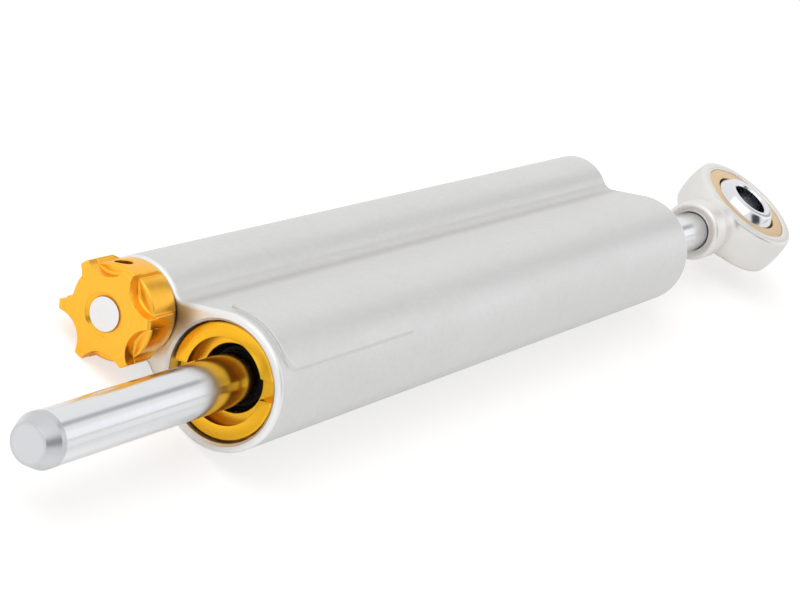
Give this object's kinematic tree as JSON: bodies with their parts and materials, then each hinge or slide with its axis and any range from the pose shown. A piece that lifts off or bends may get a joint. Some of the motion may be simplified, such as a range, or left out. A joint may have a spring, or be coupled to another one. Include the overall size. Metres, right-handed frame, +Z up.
{
  "type": "motorcycle steering damper",
  "caption": "Through-rod hydraulic steering damper: twin-tube aluminium body, sliding chromed rod with a spherical rod end, gold glands and a ribbed adjuster knob.",
  "frame": {"origin": "on the main tube's axis, at the middle of the body's length, where the frame clamp goes round it", "axes": "+X along the main axis towards the rod end, +Y towards the side tube, +Z up with the damper lying on its main tube and its knob"},
  "size_m": [0.2608, 0.0381, 0.0217],
  "materials": {
    "body_aluminium": "bead blasted and clear anodised",
    "gold_anodised": "gold anodised, fine turned",
    "chrome": "hard chromed and polished",
    "rod_end_metal": "satin plated",
    "race_bronze": "machined bronze",
    "bush_bronze": "sintered bronze",
    "rubber": "moulded",
    "ptfe": "filled low-friction plastic",
    "turned_aluminium": "turned",
    "brass": "turned",
    "bright_steel": "ground",
    "dark_steel": "black oxide",
    "spring_steel": "drawn wire"
  },
  "bodies": {
    "housing": {"housing": "body_aluminium", "front_gland": "gold_anodised", "front_gland_o_ring": "rubber", "front_wiper": "rubber", "front_rod_seal": "rubber", "front_rod_bush": "bush_bronze", "rear_gland": "gold_anodised", "rear_gland_o_ring": "rubber", "rear_wiper": "rubber", "rear_rod_seal": "rubber", "rear_rod_bush": "bush_bronze", "adjuster_cartridge": "brass", "cartridge_o_ring": "rubber", "spindle_o_ring": "rubber", "spindle_retainer": "dark_steel", "needle_seat": "brass", "compensator_spring": "spring_steel", "reservoir_plug": "body_aluminium", "reservoir_plug_o_ring": "rubber", "plug_clip": "dark_steel", "bleed_screw": "dark_steel"},
    "piston": {"piston": "turned_aluminium", "piston_band": "ptfe", "piston_o_ring": "rubber"},
    "rod": {"piston_rod": "chrome", "piston_clips": "dark_steel", "rod_end_housing": "rod_end_metal", "rod_end_race": "race_bronze"},
    "liner": {"rod_end_liner": "ptfe"},
    "ball": {"rod_end_ball": "chrome"},
    "knob": {"adjuster_knob": "gold_anodised", "knob_grub_screw": "dark_steel", "adjuster_spindle": "bright_steel", "detent_spring": "spring_steel"},
    "detent": {"detent_ball": "spring_steel"},
    "needle": {"metering_needle": "bright_steel"},
    "compensator": {"compensator_piston": "turned_aluminium", "compensator_o_ring": "rubber"}
  },
  "joints": [
    {"name": "piston_slide", "type": "slide", "parent": "housing", "child": "piston", "axis": [1, 0, 0], "range_m": [-0.0245, 0.0435]},
    {"name": "rod_turn", "type": "hinge", "parent": "piston", "child": "rod", "pos_m": [0, 0, 0], "axis": [1, 0, 0], "continuous": true},
    {"name": "ball_tilt", "type": "hinge", "parent": "rod", "child": "liner", "pos_m": [0.1272, 0, 0], "axis": [0, 1, 0], "range_deg": [-13, 13]},
    {"name": "ball_spin", "type": "hinge", "parent": "liner", "child": "ball", "pos_m": [0.1272, 0, 0], "axis": [0, 0, 1], "continuous": true},
    {"name": "knob_turn", "type": "hinge", "parent": "housing", "child": "knob", "pos_m": [-0.08, 0.01754, -0.0024], "axis": [1, 0, 0], "range_deg": [-360, 360]},
    {"name": "needle_travel", "type": "slide", "parent": "housing", "child": "needle", "axis": [1, 0, 0], "range_m": [-0.0008, 0.0008]},
    {"name": "detent_press", "type": "slide", "parent": "knob", "child": "detent", "axis": [1, 0, 0], "range_m": [-0.0004, 0], "stiffness_N_per_m": 400, "springref_m": 0.001, "deforming": ["detent_spring"]},
    {"name": "compensator_slide", "type": "slide", "parent": "housing", "child": "compensator", "axis": [1, 0, 0], "range_m": [-0.0035, 0.008], "stiffness_N_per_m": 1500, "deforming": ["compensator_spring"]}
  ],
  "couplings": [
    {"joint": "knob_turn", "follows": "needle_travel", "rad_per_m": 7853.9}
  ]
}
